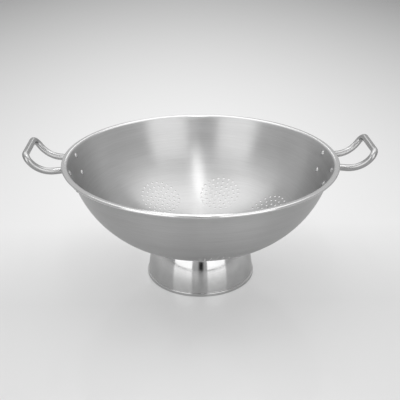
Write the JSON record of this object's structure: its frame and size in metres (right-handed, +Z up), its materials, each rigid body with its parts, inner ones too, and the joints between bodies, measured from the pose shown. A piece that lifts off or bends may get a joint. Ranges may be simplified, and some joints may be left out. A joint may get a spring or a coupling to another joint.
{
  "type": "colander",
  "caption": "Wide footed colander: sheet bowl with drain holes in a rosette and round clusters, rolled rim, ring foot and riveted rod handles.",
  "frame": {"origin": "on the floor plane under the middle of the foot ring, which is the bottom centre of the whole object", "axes": "+Z up along the bowl's axis, X through both handles, -Y to the front"},
  "size_m": [0.521, 0.4158, 0.2182],
  "materials": {
    "bowl_steel": "satin, brushed in circles",
    "foot_steel": "mirror polished",
    "handle_steel": "polished rod",
    "rivet_steel": "polished"
  },
  "bodies": {
    "root": {"bowl": "bowl_steel", "foot_ring": "foot_steel", "left_handle": "handle_steel", "right_handle": "handle_steel", "left_front_upper_rivet": "rivet_steel", "left_front_lower_rivet": "rivet_steel", "left_back_upper_rivet": "rivet_steel", "left_back_lower_rivet": "rivet_steel", "right_front_upper_rivet": "rivet_steel", "right_front_lower_rivet": "rivet_steel", "right_back_upper_rivet": "rivet_steel", "right_back_lower_rivet": "rivet_steel"}
  },
  "joints": []
}
